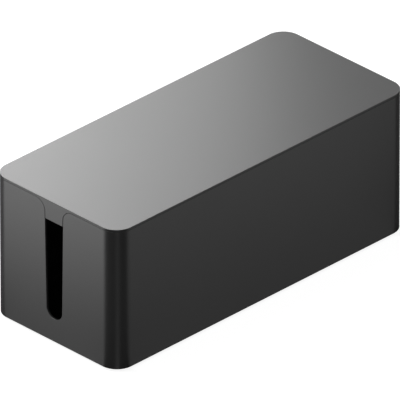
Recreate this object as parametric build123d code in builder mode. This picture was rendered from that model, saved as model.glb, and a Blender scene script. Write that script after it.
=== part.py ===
from build123d import *
from math import cos, radians, sin, tan
import os

# Cable management box: a tub with a cable slot in each end, a lid that lifts straight off, and
# four rubber feet, each held in a shallow round recess by a disc of adhesive.
# Millimetres. X runs along the box and +Z is up. The origin is under the middle of the box, on
# the surface that the feet stand on.

# ---- Driving dimensions ------------------------------------------------------------------

# Outside of the closed box
length = 322.0
width = 138.0
body_height = 125.0  # from the tub's underside to the lid's top
corner_radius = 15.7  # upright corners, in plan

# Tub
wall = 2.3
floor_thickness = 2.5
floor_fillet = 3.0  # inside, from the walls into the floor
base_round = 0.6  # outside, round the bottom edge

# Lid
lid_thickness = 2.3
lid_edge = 1.9  # height of the lid's side that shows above the seam
lid_round = 0.4  # round the top edge
lip_depth = 8.0  # locating lip, below the tub's rim
lip_thickness = 1.6
lip_lead_in = 0.5  # chamfer on the lip's lower edges
tongue_drop = 17.5  # from the lid's top to the lower edge of a tongue

# Cable slots: a round bottom, two sides that lean outwards, and a flare into the rim
slot_sill = 20.5  # from the tub's underside to the bottom of a slot
slot_end_radius = 8.5
slot_taper = 0.95  # lean of each side, in degrees
flare_radius = 9.9

# Feet
foot_diameter = 20.0
foot_proud = 2.0  # what a foot stands out below the tub
foot_round = 0.8  # round its lower edge
foot_inset = 24.0  # from the tub's outer faces to a foot's axis
recess_depth = 0.8
adhesive_thickness = 0.2
adhesive_margin = 0.5  # from a foot's edge to the edge of its adhesive

# Clearances
seam = 0.25  # open line round the lid and the tongues
seam_depth = 1.0  # how far that line runs in from the outer faces
lip_clearance = 0.35  # between the lip and the tub's walls
foot_clearance = 0.3  # between a foot and the side of its recess

# ---- Heights and places that follow ------------------------------------------------------

tub_base = foot_proud
tub_floor = tub_base + floor_thickness
top = tub_base + body_height
rim = top - lid_edge - seam
lip_inset = wall + lip_clearance
tongue_base = top - tongue_drop

taper = radians(slot_taper)
slot_centre = tub_base + slot_sill + slot_end_radius
flare_centre = rim - flare_radius
foot_height = foot_proud + recess_depth - adhesive_thickness


def slot_half_width(height, gap=0.0):
    """Half of a slot's width at a height between its round end and its flares, less a gap."""
    return (slot_end_radius - gap) / cos(taper) + (height - slot_centre) * tan(taper)


flare_offset = slot_half_width(flare_centre) + flare_radius / cos(taper)


def plan_outline(inset, mode=Mode.ADD):
    """The box in plan, with its outer faces moved in by inset."""
    RectangleRounded(length - 2 * inset, width - 2 * inset, corner_radius - inset, mode=mode)


def flared_side(start, gap):
    """A slot's side from start upwards, moved in by gap: a leaning line, then the round flare.

    Every flare has the same centre, so a gap makes its radius larger and lifts its end by as much.
    """
    radius = flare_radius + gap
    Line(start, (flare_offset - radius * cos(taper), flare_centre + radius * sin(taper)))
    CenterArc((flare_offset, flare_centre), radius, 180 - slot_taper, slot_taper - 90)


os.makedirs("parts", exist_ok=True)

# ---- Tub ---------------------------------------------------------------------------------

with BuildPart() as tub:
    with BuildSketch(Plane.XY.offset(tub_base)):
        plan_outline(0)
    extrude(amount=rim - tub_base)
    fillet(tub.edges().group_by(Axis.Z)[0], base_round)

    # The hollow, with its fillet into the floor
    with BuildSketch(Plane.XY.offset(tub_floor)):
        plan_outline(wall)
    extrude(amount=rim - tub_floor, mode=Mode.SUBTRACT)
    fillet(tub.edges(Select.LAST).group_by(Axis.Z)[0], floor_fillet)

    # Both cable slots in one cut along the box
    with BuildSketch(Plane.YZ):
        with BuildLine():
            CenterArc((0, slot_centre), slot_end_radius, -90, 90 - slot_taper)
            flared_side(
                (slot_end_radius * cos(taper), slot_centre - slot_end_radius * sin(taper)), 0
            )
            Polyline((flare_offset, rim), (flare_offset, top), (0, top))
            mirror(about=Plane.YZ)
        make_face()
    extrude(amount=length / 2, both=True, mode=Mode.SUBTRACT)

    # Recesses for the feet
    with BuildSketch(Plane.XY.offset(tub_base)):
        with GridLocations(length - 2 * foot_inset, width - 2 * foot_inset, 2, 2):
            Circle(foot_diameter / 2 + foot_clearance)
    extrude(amount=recess_depth, mode=Mode.SUBTRACT)

tub.part.label = "tub"
export_step(tub.part, "parts/tub.step")

# ---- Lid ---------------------------------------------------------------------------------

with BuildPart() as lid:
    # The edge that shows, above the open seam
    with BuildSketch(Plane.XY.offset(rim + seam)):
        plan_outline(0)
    extrude(amount=lid_edge)

    # The seat, which rests on the tub's rim
    with BuildSketch(Plane.XY.offset(rim)):
        plan_outline(seam_depth)
    extrude(amount=top - rim)

    # The full thickness, within the tub's walls
    with BuildSketch(Plane.XY.offset(top - lid_thickness)):
        plan_outline(lip_inset)
    extrude(amount=lid_thickness)

    # The locating lip
    with BuildSketch(Plane.XY.offset(rim - lip_depth)):
        plan_outline(lip_inset)
        plan_outline(lip_inset + lip_thickness, mode=Mode.SUBTRACT)
    extrude(amount=lip_depth)
    chamfer(lid.edges().group_by(Axis.Z)[0], lip_lead_in)

    # A tongue at each end, rooted in the edge: it closes the top of the slot and backs on to the lip
    tongue_root = top - lid_edge / 2
    tongue_corner = (slot_half_width(tongue_base, seam), tongue_base)
    for end in (-1, 1):
        with BuildSketch(Plane.YZ.offset(end * length / 2)):
            with BuildLine():
                Line((0, tongue_base), tongue_corner)
                flared_side(tongue_corner, seam)
                Polyline((flare_offset, rim + seam), (flare_offset, tongue_root), (0, tongue_root))
                mirror(about=Plane.YZ)
            make_face()
        extrude(amount=-end * lip_inset)

    fillet(lid.edges().group_by(Axis.Z)[-1], lid_round)

lid.part.label = "lid"
export_step(lid.part, "parts/lid.step")

# ---- Feet and their adhesive -------------------------------------------------------------

foot_x = length / 2 - foot_inset
foot_y = width / 2 - foot_inset
corners = {
    "front_left": (-foot_x, -foot_y),
    "front_right": (foot_x, -foot_y),
    "rear_left": (-foot_x, foot_y),
    "rear_right": (foot_x, foot_y),
}

for corner_name, (x, y) in corners.items():
    with BuildPart() as foot:
        with BuildSketch(Plane((x, y, 0))):
            Circle(foot_diameter / 2)
        extrude(amount=foot_height)
        fillet(foot.edges().group_by(Axis.Z)[0], foot_round)

    foot.part.label = f"foot_{corner_name}"
    export_step(foot.part, f"parts/{foot.part.label}.step")

    with BuildPart() as adhesive:
        with BuildSketch(Plane((x, y, foot_height))):
            Circle(foot_diameter / 2 - adhesive_margin)
        extrude(amount=adhesive_thickness)

    adhesive.part.label = f"foot_adhesive_{corner_name}"
    export_step(adhesive.part, f"parts/{adhesive.part.label}.step")
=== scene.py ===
import math

import bmesh
import bpy
import numpy as np
from mathutils import Matrix, Vector


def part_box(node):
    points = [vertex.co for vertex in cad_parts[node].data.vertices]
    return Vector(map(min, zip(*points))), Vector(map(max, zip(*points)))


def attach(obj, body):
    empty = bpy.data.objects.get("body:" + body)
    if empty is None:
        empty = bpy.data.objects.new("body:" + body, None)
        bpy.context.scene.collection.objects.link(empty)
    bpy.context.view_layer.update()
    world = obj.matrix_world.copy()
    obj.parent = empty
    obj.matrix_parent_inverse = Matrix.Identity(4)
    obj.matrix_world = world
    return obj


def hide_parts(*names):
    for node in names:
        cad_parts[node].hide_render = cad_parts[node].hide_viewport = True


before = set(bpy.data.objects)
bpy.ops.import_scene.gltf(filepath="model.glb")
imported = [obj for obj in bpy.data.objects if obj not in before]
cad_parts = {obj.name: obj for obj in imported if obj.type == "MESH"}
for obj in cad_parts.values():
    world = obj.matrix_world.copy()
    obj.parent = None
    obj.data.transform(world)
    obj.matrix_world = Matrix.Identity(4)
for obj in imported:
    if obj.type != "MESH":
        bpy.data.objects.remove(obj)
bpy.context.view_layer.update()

# ---- Tub -----------------------------------------------------------------------------------
# The deep box that hides a power strip: one injection moulding in black ABS with a satin skin.
# Its walls and floor are one shell, with a cable slot down from the rim at each end and four
# shallow round recesses underneath for the feet.

tub_low, tub_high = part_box("tub")
half_length, half_width = tub_high.x, tub_high.y
tub_base, rim = tub_low.z, tub_high.z
corner_radius = 0.0157
side_flat, end_flat = half_length - corner_radius, half_width - corner_radius
wall = 0.0023
floor_thickness = 0.0025
floor_fillet = 0.003
base_round = 0.0006
rim_round = 0.0001
slot_round = 0.00045

slot_rise = 0.0205  # from the underside to the lowest point of a slot
slot_radius = 0.0085
slot_centre = tub_base + slot_rise + slot_radius
slot_lean = math.radians(0.95)
flare_radius = 0.0099
flare_centre = rim - flare_radius

recess_radius = 0.0103
recess_depth = 0.0008
foot_inset = 0.024
foot_x, foot_y = half_length - foot_inset, half_width - foot_inset

corner_points, side_points = 33, 13  # in plan, from end to end of a corner and of a long side
slot_points, flare_points, round_points = 25, 21, 5  # along each arc
merge_distance = 1e-6


def slot_half_width(height, gap=0.0):
    """Half of a slot's width at a height on its leaning sides, less a gap."""
    return (slot_radius - gap) / math.cos(slot_lean) + (height - slot_centre) * math.tan(slot_lean)


flare_offset = slot_half_width(flare_centre) + flare_radius / math.cos(slot_lean)


def arc(centre, radius, angles, inward):
    """Edge points on a circle in a wall: y = cy + r cos a and z = cz + r sin a for each angle a.

    The last two columns point into the material: along the radius, or against it if inward.
    """
    across, up = np.cos(angles), np.sin(angles)
    into = -1 if inward else 1
    points = [centre[0] + radius * across, centre[1] + radius * up, into * across, into * up]
    return np.column_stack(points)


def wall_path(half_edge):
    """Stations round the box in plan, counter-clockwise, from the open edge of half an end wall.

    half_edge holds y, z and the direction into the material, from the middle of the end outwards.
    Each station is a point p on the line of the corners' centres, the way out n, the edge's
    height and the direction into the material. A wall's face is p + n (corner radius - inset).
    """
    half_edge = np.vstack([half_edge, [end_flat, *half_edge[-1, 1:]]])
    end = np.vstack([half_edge[:0:-1] * (-1, 1, -1, 1), half_edge])
    corner = np.linspace(0, math.pi / 2, corner_points)[1:-1]
    side = np.linspace(1, -1, side_points)
    turn = np.concatenate([0 * end[:, 0], corner, math.pi / 2 + 0 * side, math.pi / 2 + corner])
    spine = np.full((len(turn), 2), (side_flat, end_flat))
    spine[:len(end), 1] = end[:, 0]
    spine[len(end):, 0] *= np.concatenate([corner ** 0, side, -corner ** 0])
    out = np.column_stack([np.cos(turn), np.sin(turn)])
    edge = np.tile(end[-1, 1:], (len(turn), 1))
    edge[:len(end)] = end[:, 1:]
    height, aside, rise = np.tile(edge, (2, 1)).T
    return {
        "spine": np.vstack([spine, -spine]), "out": np.vstack([out, -out]),
        "height": height, "aside": aside, "rise": rise,
    }


def level_ring(path, inset, height, shift=0.0):
    """A ring of points: the plan outline moved in by inset, at a height, shifted along the wall.

    Point i is p + n (corner radius - inset) + t shift, where t is n turned left by 90 degrees.
    Inset, height and shift are each one number, or one for every station.
    """
    out = path["out"]
    along = np.column_stack([-out[:, 1], out[:, 0]])
    reach = np.reshape(corner_radius - inset, (-1, 1))
    plan = path["spine"] + out * reach + along * np.reshape(shift, (-1, 1))
    return np.column_stack([plan, np.broadcast_to(height, len(plan))])


def edge_ring(path, inset, depth):
    """A ring beside the open edge, moved into the material by depth, square to the edge."""
    return level_ring(path, inset, path["height"] + path["rise"] * depth, path["aside"] * depth)


def circle(centre, radius, height, count=64):
    """Points on a level circle: x = cx + r cos a and y = cy + r sin a."""
    angles = np.linspace(0, 2 * math.pi, count, endpoint=False)
    plan = np.column_stack([np.cos(angles), np.sin(angles)]) * radius + centre
    return np.column_stack([plan, np.full(count, height)])


def stack_rings(name, rings, closed=(True, True)):
    """A mesh through a stack of rings, with a flat face on its first and last ring if closed.

    Point j of ring i makes a face with point j + 1 and the same two of ring i + 1, round and
    round. The rings run so that the outside of a wall climbs. Points that coincide are joined.
    """
    count = len(rings[0])
    here = np.arange((len(rings) - 1) * count).reshape(-1, count)
    beside = np.roll(here, -1, axis=1)
    faces = np.stack([here, beside, beside + count, here + count], axis=-1).reshape(-1, 4).tolist()
    last = (len(rings) - 1) * count
    if closed[0]:
        faces.append(list(range(count))[::-1])
    if closed[1]:
        faces.append(list(range(last, last + count)))
    mesh = bpy.data.meshes.new(name)
    mesh.from_pydata(np.concatenate(rings).tolist(), [], faces)
    shape = bmesh.new()
    shape.from_mesh(mesh)
    bmesh.ops.remove_doubles(shape, verts=shape.verts, dist=merge_distance)
    shape.to_mesh(mesh)
    shape.free()
    return mesh


def fill_round_recesses(mesh, centres, radius, depth):
    """Closes the open ring under a mesh with a flat face that has round recesses in it.

    Each recess is a circle in the face, the same circle moved up by depth, and a face on that.
    """
    shape = bmesh.new()
    shape.from_mesh(mesh)
    loop = [edge for edge in shape.edges if edge.is_boundary]
    base = loop[0].verts[0].co.z
    for centre in centres:
        mouth = [shape.verts.new(point) for point in circle(centre, radius, base)]
        roof = [shape.verts.new(point) for point in circle(centre, radius, base + depth)]
        mouth_pairs = list(zip(mouth, mouth[1:] + mouth[:1]))
        roof_pairs = list(zip(roof, roof[1:] + roof[:1]))
        loop += [shape.edges.new(pair) for pair in mouth_pairs]
        for (a, b), (c, d) in zip(mouth_pairs, roof_pairs):
            shape.faces.new([a, b, d, c])
        shape.faces.new(roof)
    bmesh.ops.triangle_fill(shape, edges=loop, use_beauty=True)
    bmesh.ops.recalc_face_normals(shape, faces=shape.faces)
    shape.to_mesh(mesh)
    shape.free()


def make_piece(mesh, body, node, sharp_angle=40):
    """A piece that stands for a node and rides on a body, shaded smooth but for its sharp edges.

    The normal at each corner follows the larger faces, so that flat faces stay flat.
    """
    piece = bpy.data.objects.new(mesh.name, mesh)
    bpy.context.scene.collection.objects.link(piece)
    mesh.polygons.foreach_set("use_smooth", np.ones(len(mesh.polygons), bool))
    mesh.set_sharp_from_angle(angle=math.radians(sharp_angle))
    normals = piece.modifiers.new("face normals", "WEIGHTED_NORMAL")
    normals.keep_sharp = True
    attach(piece, body)
    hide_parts(node)
    return piece


class Wire:
    """An output socket of a node. Arithmetic on it adds a Math node and gives its output."""

    def __init__(self, shading, socket):
        self.shading, self.socket = shading, socket

    def _math(self, operation, first, second):
        return self.shading.node("ShaderNodeMath", {"operation": operation}, {0: first, 1: second})

    def __add__(self, other):
        return self._math("ADD", self, other)

    def __sub__(self, other):
        return self._math("SUBTRACT", self, other)

    def __rsub__(self, other):
        return self._math("SUBTRACT", other, self)

    def __mul__(self, other):
        return self._math("MULTIPLY", self, other)

    __radd__, __rmul__ = __add__, __mul__


class Shading:
    """The node tree of a material or a world, which starts empty."""

    def __init__(self, owner):
        owner.use_nodes = True
        self.tree = owner.node_tree
        self.tree.nodes.clear()

    def node(self, kind, settings=(), sockets=(), output=0):
        """Adds a node, sets its settings, then gives each socket a value or a Wire."""
        node = self.tree.nodes.new(kind)
        for name, value in dict(settings).items():
            setattr(node, name, value)
        for name, value in dict(sockets).items():
            if isinstance(value, Wire):
                self.tree.links.new(value.socket, node.inputs[name])
            else:
                node.inputs[name].default_value = value
        return Wire(self, node.outputs[output]) if node.outputs else None

    def noise(self, place, scale, detail=2.0, roughness=0.5):
        """Smooth noise from 0 to 1, with scale waves to the metre."""
        sockets = {"Vector": place, "Scale": scale, "Detail": detail, "Roughness": roughness}
        return self.node("ShaderNodeTexNoise", {}, sockets)

    def blend(self, share, first, second):
        """A colour that goes from first to second as share goes from 0 to 1."""
        sockets = {0: share, 6: first, 7: second}
        return self.node("ShaderNodeMix", {"data_type": "RGBA"}, sockets, output=2)

    def bump(self, height, distance, strength):
        """A normal from a height of 0 to 1, where 1 stands a distance out of the face."""
        sockets = {"Height": height, "Distance": distance, "Strength": strength}
        return self.node("ShaderNodeBump", {}, sockets)


def grey(value):
    """A neutral colour."""
    return (value, value, value, 1)


def black_plastic():
    """Black ABS off a spark-eroded mould: a fine even grain, under a slow drift of its gloss."""
    deep, pale = grey(0.014), grey(0.022)
    roughness, flow_spread, grain_spread = 0.33, 0.03, 0.06
    material = bpy.data.materials.new("black_plastic")
    shading = Shading(material)
    place = shading.node("ShaderNodeTexCoord", output="Object")
    grain = shading.noise(place, 3200, detail=3, roughness=0.6)
    flow = shading.noise(place, 18, detail=3)
    surface = shading.node("ShaderNodeBsdfPrincipled", {}, {
        "Base Color": shading.blend(flow * 0.6 + grain * 0.4, deep, pale),
        "Roughness": roughness + (flow - 0.5) * flow_spread + (grain - 0.5) * grain_spread,
        "IOR": 1.5,
        "Normal": shading.bump(grain, distance=0.000012, strength=0.35),
    })
    shading.node("ShaderNodeOutputMaterial", {}, {"Surface": surface})
    return material


# A quarter round as pairs (out, in), each from 0 to 1: out = 1 - cos a, in = 1 - sin a
quarter = np.linspace(0, math.pi / 2, round_points)
out_in = list(zip(1 - np.cos(quarter), 1 - np.sin(quarter)))

floor_top = tub_base + floor_thickness
slot_edge = wall_path(np.vstack([
    arc((0, slot_centre), slot_radius,
        np.linspace(-math.pi / 2, -slot_lean, slot_points), inward=False),
    arc((flare_offset, flare_centre), flare_radius,
        np.linspace(math.pi - slot_lean, math.pi / 2, flare_points), inward=True),
]))
# The round along the open edge grows down the flares, from the rim's to the slots'
down_flare = np.clip((rim - slot_edge["height"]) / flare_radius, 0, 1)
tub_edge = rim_round + (slot_round - rim_round) * down_flare
tub_mesh = stack_rings("tub_shell", [
    *[level_ring(slot_edge, base_round * b, tub_base + base_round * a) for a, b in out_in],
    *[edge_ring(slot_edge, tub_edge * a, tub_edge * b) for a, b in out_in],
    *[edge_ring(slot_edge, wall - tub_edge * b, tub_edge * a) for a, b in out_in],
    *[level_ring(slot_edge, wall + floor_fillet * a, floor_top + floor_fillet * b)
      for a, b in out_in],
], closed=(False, True))
foot_places = {
    "front_left": (-foot_x, -foot_y), "front_right": (foot_x, -foot_y),
    "rear_left": (-foot_x, foot_y), "rear_right": (foot_x, foot_y),
}
fill_round_recesses(tub_mesh, foot_places.values(), recess_radius, recess_depth)
tub = make_piece(tub_mesh, "box", "tub")
tub.data.materials.append(black_plastic())

# ---- Lid -----------------------------------------------------------------------------------
# The lift-off lid: one moulding in the same black ABS. A locating lip under it drops inside the
# tub's walls, and a tongue at each end hangs in the top of the slot, flush with the end wall.

lid_low, lid_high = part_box("lid")
lid_top, tongue_base = lid_high.z, lid_low.z
lid_thickness = 0.0023
lid_round = 0.0003  # along the top
lid_edge = 0.0002  # round along the seam
seam = 0.00025
seam_depth = 0.001
lip_clearance = 0.00035
lip_thickness = 0.0016
lip_depth = 0.008
lip_lead_in = 0.0005
tongue_corner = 0.0004
tongue_corner_points = 9
flare_counts = (4, 16, 4)  # its points below the lip, beside it and above the rim

lip_inset = wall + lip_clearance
lip_back = lip_inset + lip_thickness
lip_base = rim - lip_depth
lead_top = lip_base + lip_lead_in
flare_outer = flare_radius + seam
corner_height = tongue_base + tongue_corner
corner_across = slot_half_width(corner_height, seam) - tongue_corner / math.cos(slot_lean)


def flare_angle(height):
    """The angle at which the tongue's flare reaches a height: pi - asin((z - cz) / r)."""
    return math.pi - math.asin((height - flare_centre) / flare_outer)


# The flare has a station at the top of the lip's lead-in and one at the rim
flare_stops = [math.pi - slot_lean, flare_angle(lead_top), flare_angle(rim), math.pi / 2]
flare_angles = np.concatenate([
    np.linspace(first, last, count, endpoint=False)
    for first, last, count in zip(flare_stops, flare_stops[1:], flare_counts)
] + [[math.pi / 2]])
tongue_edge = wall_path(np.vstack([
    [0, tongue_base, 0, 1],
    arc((corner_across, corner_height), tongue_corner,
        np.linspace(-math.pi / 2, -slot_lean, tongue_corner_points), inward=True),
    arc((flare_offset, flare_centre), flare_outer, flare_angles, inward=False),
]))
seat = np.minimum(tongue_edge["height"], rim)
lid = make_piece(stack_rings("lid_shell", [
    level_ring(tongue_edge, lip_back, lid_top - lid_thickness),
    level_ring(tongue_edge, lip_back, lead_top),
    level_ring(tongue_edge, lip_back - lip_lead_in, lip_base),
    level_ring(tongue_edge, lip_inset + lip_lead_in, lip_base),
    level_ring(tongue_edge, lip_inset, lead_top),
    level_ring(tongue_edge, lip_inset, seat),
    level_ring(tongue_edge, seam_depth, seat),
    edge_ring(tongue_edge, seam_depth, 0),
    *[edge_ring(tongue_edge, lid_edge * b, lid_edge * a) for a, b in out_in],
    *[level_ring(tongue_edge, lid_round * a, lid_top - lid_round * b) for a, b in out_in],
]), "lid", "lid")
lid.data.materials.append(tub.data.materials[0])

# ---- Feet ----------------------------------------------------------------------------------
# Four round feet of moulded rubber, with a rounded lower edge and a shallow dish that grips the
# table. Each is stuck into its recess by a disc of clear acrylic adhesive.

foot_round = 0.0008
foot_top_edge = 0.0001
dish_radius = 0.0068
dish_depth = 0.0002
dish_side = 2 * dish_depth  # how far its sloping side runs in


def soft_rubber():
    """Black rubber: matt, with the fine pitting and the pale bloom that moulded rubber has."""
    clean, bloomed = grey(0.018), (0.034, 0.033, 0.032, 1)
    material = bpy.data.materials.new("foot_rubber")
    shading = Shading(material)
    place = shading.node("ShaderNodeTexCoord", output="Object")
    pits = shading.noise(place, 1800, detail=4, roughness=0.65)
    bloom = shading.noise(place, 160, detail=3)
    surface = shading.node("ShaderNodeBsdfPrincipled", {}, {
        "Base Color": shading.blend(bloom, clean, bloomed),
        "Roughness": 0.72 + bloom * 0.12,
        "IOR": 1.52,
        "Normal": shading.bump(pits, distance=0.00005, strength=0.6),
    })
    shading.node("ShaderNodeOutputMaterial", {}, {"Surface": surface})
    return material


def clear_adhesive():
    """Acrylic adhesive film, milky, with small pale bubbles caught in it."""
    film, bubble = (0.42, 0.41, 0.37, 1), (0.62, 0.61, 0.57, 1)
    material = bpy.data.materials.new("adhesive_film")
    shading = Shading(material)
    place = shading.node("ShaderNodeTexCoord", output="Object")
    bubbles = shading.noise(place, 900)
    surface = shading.node("ShaderNodeBsdfPrincipled", {}, {
        "Base Color": shading.blend(bubbles, film, bubble),
        "Roughness": 0.3 + bubbles * 0.2,
        "IOR": 1.47,
        "Normal": shading.bump(bubbles, distance=0.00002, strength=0.4),
    })
    shading.node("ShaderNodeOutputMaterial", {}, {"Surface": surface})
    return material


rubber, adhesive = soft_rubber(), clear_adhesive()
for corner_name, centre in foot_places.items():
    node = "foot_" + corner_name
    low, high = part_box(node)
    radius = (high.x - low.x) / 2
    foot = make_piece(stack_rings(node + "_moulded", [
        circle(centre, dish_radius - dish_side, low.z + dish_depth),
        circle(centre, dish_radius, low.z),
        *[circle(centre, radius - foot_round * b, low.z + foot_round * a) for a, b in out_in],
        circle(centre, radius, high.z - foot_top_edge),
        circle(centre, radius - foot_top_edge, high.z),
    ]), "box", node)
    foot.data.materials.append(rubber)
    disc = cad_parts["foot_adhesive_" + corner_name]
    disc.data.materials.clear()
    disc.data.materials.append(adhesive)

# ---- Camera --------------------------------------------------------------------------------
# A very long lens from the front left corner, 30 degrees up, so that the box shows with hardly
# any perspective, its long side to the right and one slotted end to the left.

azimuth, elevation = math.radians(45.022), math.radians(29.991)
distance = 14.757
aim_right, aim_up = -0.00058, -0.000569  # from the middle of the closed box
back = Vector((
    -math.sin(azimuth) * math.cos(elevation),
    -math.cos(azimuth) * math.cos(elevation),
    math.sin(elevation),
))
right = Vector((math.cos(azimuth), -math.sin(azimuth), 0))
up = back.cross(right)
middle = Vector((0, 0, (tub_base + lid_top) / 2))
camera = bpy.data.objects.new("camera", bpy.data.cameras.new("camera"))
camera.data.sensor_width = 36
camera.data.lens = 1700
camera.data.clip_end = 50
camera.matrix_world = Matrix((right, up, back)).transposed().to_4x4()
camera.location = middle + aim_right * right + aim_up * up + back * distance
bpy.context.scene.collection.objects.link(camera)
bpy.context.scene.camera = camera
bpy.context.scene.view_settings.view_transform = "Standard"

# ---- Studio --------------------------------------------------------------------------------
# White surroundings, two soft boxes behind the box whose sheen slides over the lid, one high on
# the left, a low one on the camera's side, and three glowing cards on the floor, which the
# upright walls mirror.

card_height = 0.0004
sky_on_matt = 0.2  # strength of the surroundings for matt light, where the camera's is 1
floor_half = 3.0
floor_glow, floor_grey = 0.9, 0.25  # to the camera: white, but for the object's shadow
floor_mirrored = 0.12  # the grey that reflections show


def heading(bearing):
    """The level direction at a bearing: 0 is straight behind the box, 90 is the camera's left."""
    behind, left = Vector((-back.x, -back.y, 0)).normalized(), -right
    return behind * math.cos(math.radians(bearing)) + left * math.sin(math.radians(bearing))


def soft_box(name, bearing, rise, distance, width, radiance):
    """A square lamp that faces the box. Its power is pi times its area times its radiance."""
    lamp = bpy.data.lights.new(name, "AREA")
    lamp.size = width
    lamp.energy = math.pi * width * width * radiance
    rise = math.radians(rise)
    way = heading(bearing) * math.cos(rise) + Vector((0, 0, math.sin(rise)))
    stand = bpy.data.objects.new(name, lamp)
    stand.location = middle + way * distance
    stand.rotation_mode = "QUATERNION"
    stand.rotation_quaternion = (-way).to_track_quat("-Z", "Y")
    bpy.context.scene.collection.objects.link(stand)


def floor_card(name, starts, bearings, reaches, faint, bright, rows=10, columns=9):
    """A card on the floor, out of the camera's sight, that glows brighter the further out it is.

    Each side runs from its start along its bearing for its reach. Point (i, j) of the grid is
    i / (rows - 1) of the way out and j / (columns - 1) of the way across from side to side. The
    glow eases from faint to bright.
    """
    out, across = np.meshgrid(np.linspace(0, 1, rows), np.linspace(0, 1, columns), indexing="ij")
    sides = [np.array(start) + out[..., None] * reach * np.array(heading(bearing).xy)
             for start, bearing, reach in zip(starts, bearings, reaches)]
    plan = sides[0] + across[..., None] * (sides[1] - sides[0])
    points = np.concatenate([plan, np.full((rows, columns, 1), card_height)], axis=-1)
    first = (np.arange(rows - 1)[:, None] * columns + np.arange(columns - 1)).ravel()
    faces = np.stack([first, first + 1, first + columns + 1, first + columns], axis=-1)
    mesh = bpy.data.meshes.new(name)
    mesh.from_pydata(points.reshape(-1, 3).tolist(), [], faces.tolist())
    mesh.attributes.new("reach", "FLOAT", "POINT").data.foreach_set("value", out.ravel())
    card = bpy.data.objects.new(name, mesh)
    bpy.context.scene.collection.objects.link(card)
    card.visible_camera = card.visible_shadow = False
    finish = bpy.data.materials.new(name + "_glow")
    mesh.materials.append(finish)
    shading = Shading(finish)
    along = shading.node("ShaderNodeAttribute", {"attribute_name": "reach"}, output=2)
    share = shading.node(
        "ShaderNodeMapRange", {"interpolation_type": "SMOOTHSTEP"}, {"Value": along})
    colour = shading.blend(share, grey(faint / bright), grey(1))
    glow = shading.node("ShaderNodeEmission", {}, {"Color": colour, "Strength": bright})
    shading.node("ShaderNodeOutputMaterial", {}, {"Surface": glow})


soft_box("lamp_behind", bearing=12, rise=30, distance=0.8, width=0.4, radiance=2.7)
soft_box("lamp_behind_left", bearing=24, rise=30, distance=1.2, width=0.7, radiance=3.35)
soft_box("lamp_left", bearing=86, rise=52, distance=1.1, width=0.9, radiance=4.6)
soft_box("lamp_near", bearing=180, rise=14, distance=1.0, width=0.5, radiance=1.3)

floor_card("card_left", [(-half_length, -end_flat), (-half_length, end_flat)],
           bearings=(108, 75), reaches=(0.45, 0.45), faint=0.69, bright=3.9)
floor_card("card_right", [(-side_flat, -half_width), (side_flat, -half_width)],
           bearings=(-118, -81), reaches=(0.38, 0.55), faint=0.35, bright=0.96)
floor_card("card_near", [(-0.1575, -0.0633), (-0.1553, -0.0655)],
           bearings=(175, 195), reaches=(0.4, 0.4), faint=0.39, bright=0.39)

world = bpy.data.worlds.new("studio")
bpy.context.scene.world = world
shading = Shading(world)
to_camera, in_gloss, on_matt = [
    shading.node("ShaderNodeLightPath", output=name)
    for name in ("Is Camera Ray", "Is Glossy Ray", "Is Diffuse Ray")]
glow = to_camera + in_gloss + on_matt * sky_on_matt
sky = shading.node("ShaderNodeBackground", {}, {"Color": grey(1), "Strength": glow})
shading.node("ShaderNodeOutputWorld", {}, {"Surface": sky})

corners = [(-floor_half, -floor_half, 0), (floor_half, -floor_half, 0),
           (floor_half, floor_half, 0), (-floor_half, floor_half, 0)]
floor_mesh = bpy.data.meshes.new("floor")
floor_mesh.from_pydata(corners, [], [(0, 1, 2, 3)])
floor = bpy.data.objects.new("floor", floor_mesh)
bpy.context.scene.collection.objects.link(floor)
floor_finish = bpy.data.materials.new("floor_paper")
floor_mesh.materials.append(floor_finish)
shading = Shading(floor_finish)
seen = shading.node("ShaderNodeLightPath", output="Is Camera Ray")
unseen = shading.node("ShaderNodeBsdfDiffuse", {}, {"Color": grey(floor_mirrored)})
paper = shading.node("ShaderNodeBsdfDiffuse", {}, {"Color": grey(floor_grey)})
white = shading.node("ShaderNodeEmission", {}, {"Color": grey(1), "Strength": floor_glow})
bright_paper = shading.node("ShaderNodeAddShader", {}, {0: white, 1: paper})
shown = shading.node("ShaderNodeMixShader", {}, {0: seen, 1: unseen, 2: bright_paper})
shading.node("ShaderNodeOutputMaterial", {}, {"Surface": shown})
